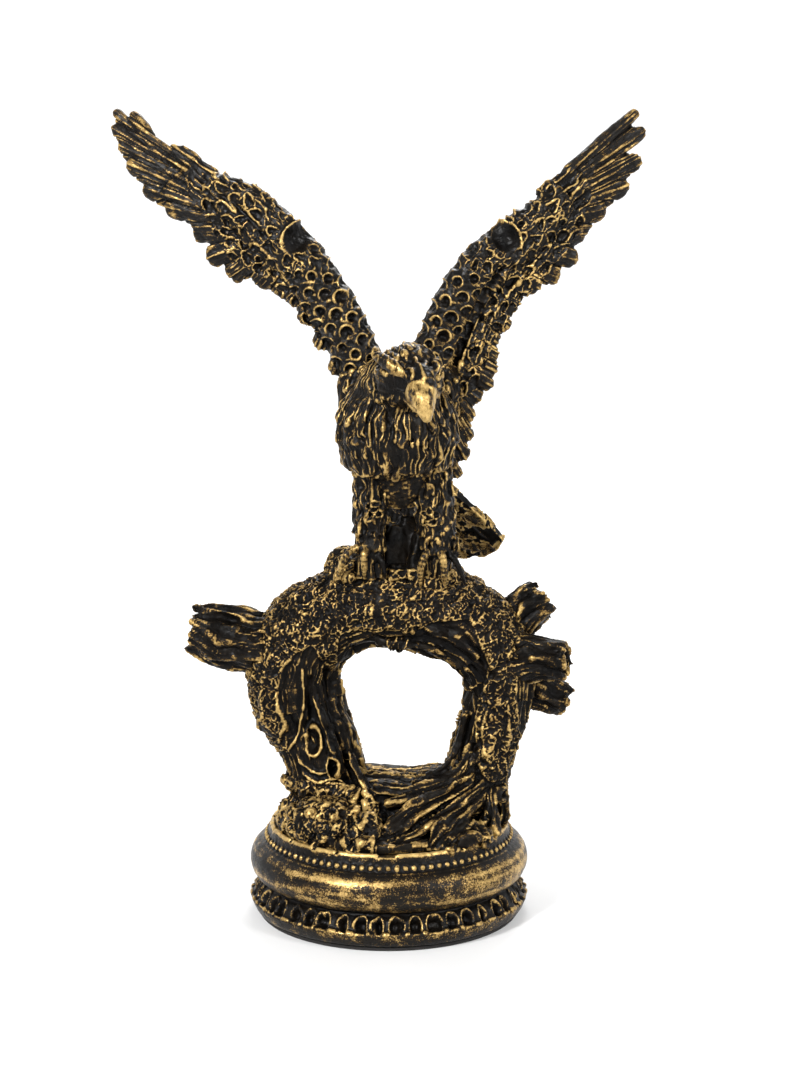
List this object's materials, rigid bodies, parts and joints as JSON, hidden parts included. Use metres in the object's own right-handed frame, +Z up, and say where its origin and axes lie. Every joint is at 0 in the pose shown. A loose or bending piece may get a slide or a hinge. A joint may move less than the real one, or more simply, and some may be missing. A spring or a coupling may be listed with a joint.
{
  "type": "bronze statuette",
  "caption": "Eagle with raised wings perched on a looped tree trunk over a round moulded plinth, cast with a dark patina and rubbed gold highlights.",
  "frame": {"origin": "centre of the underside of the plinth's felt pad, on the surface the statuette stands on", "axes": "+Z up, -Y towards the front that the bird faces, +X to the right of someone who looks at the front"},
  "size_m": [0.1885, 0.1, 0.2855],
  "materials": {
    "patina_bronze": "near-black satin patina with gold rubbed on every raised edge",
    "steel": "plain zinc-plated fasteners and rods",
    "felt": "dark green wool felt, matt"
  },
  "bodies": {
    "root": {"felt_pad": "felt", "plinth": "patina_bronze", "fixing_stud": "steel", "fixing_washer": "steel", "fixing_nut": "steel", "tree_trunk": "patina_bronze", "left_branch_stub": "patina_bronze", "right_upper_stub": "patina_bronze", "right_middle_stub": "patina_bronze", "right_lower_stub": "patina_bronze", "eagle_body": "patina_bronze", "left_leg": "patina_bronze", "right_leg": "patina_bronze", "left_leg_rod": "steel", "right_leg_rod": "steel", "left_wing": "patina_bronze", "right_wing": "patina_bronze", "left_wing_pin_front": "steel", "left_wing_pin_rear": "steel", "right_wing_pin_front": "steel", "right_wing_pin_rear": "steel", "tail": "patina_bronze", "tail_pin": "steel"}
  },
  "joints": []
}
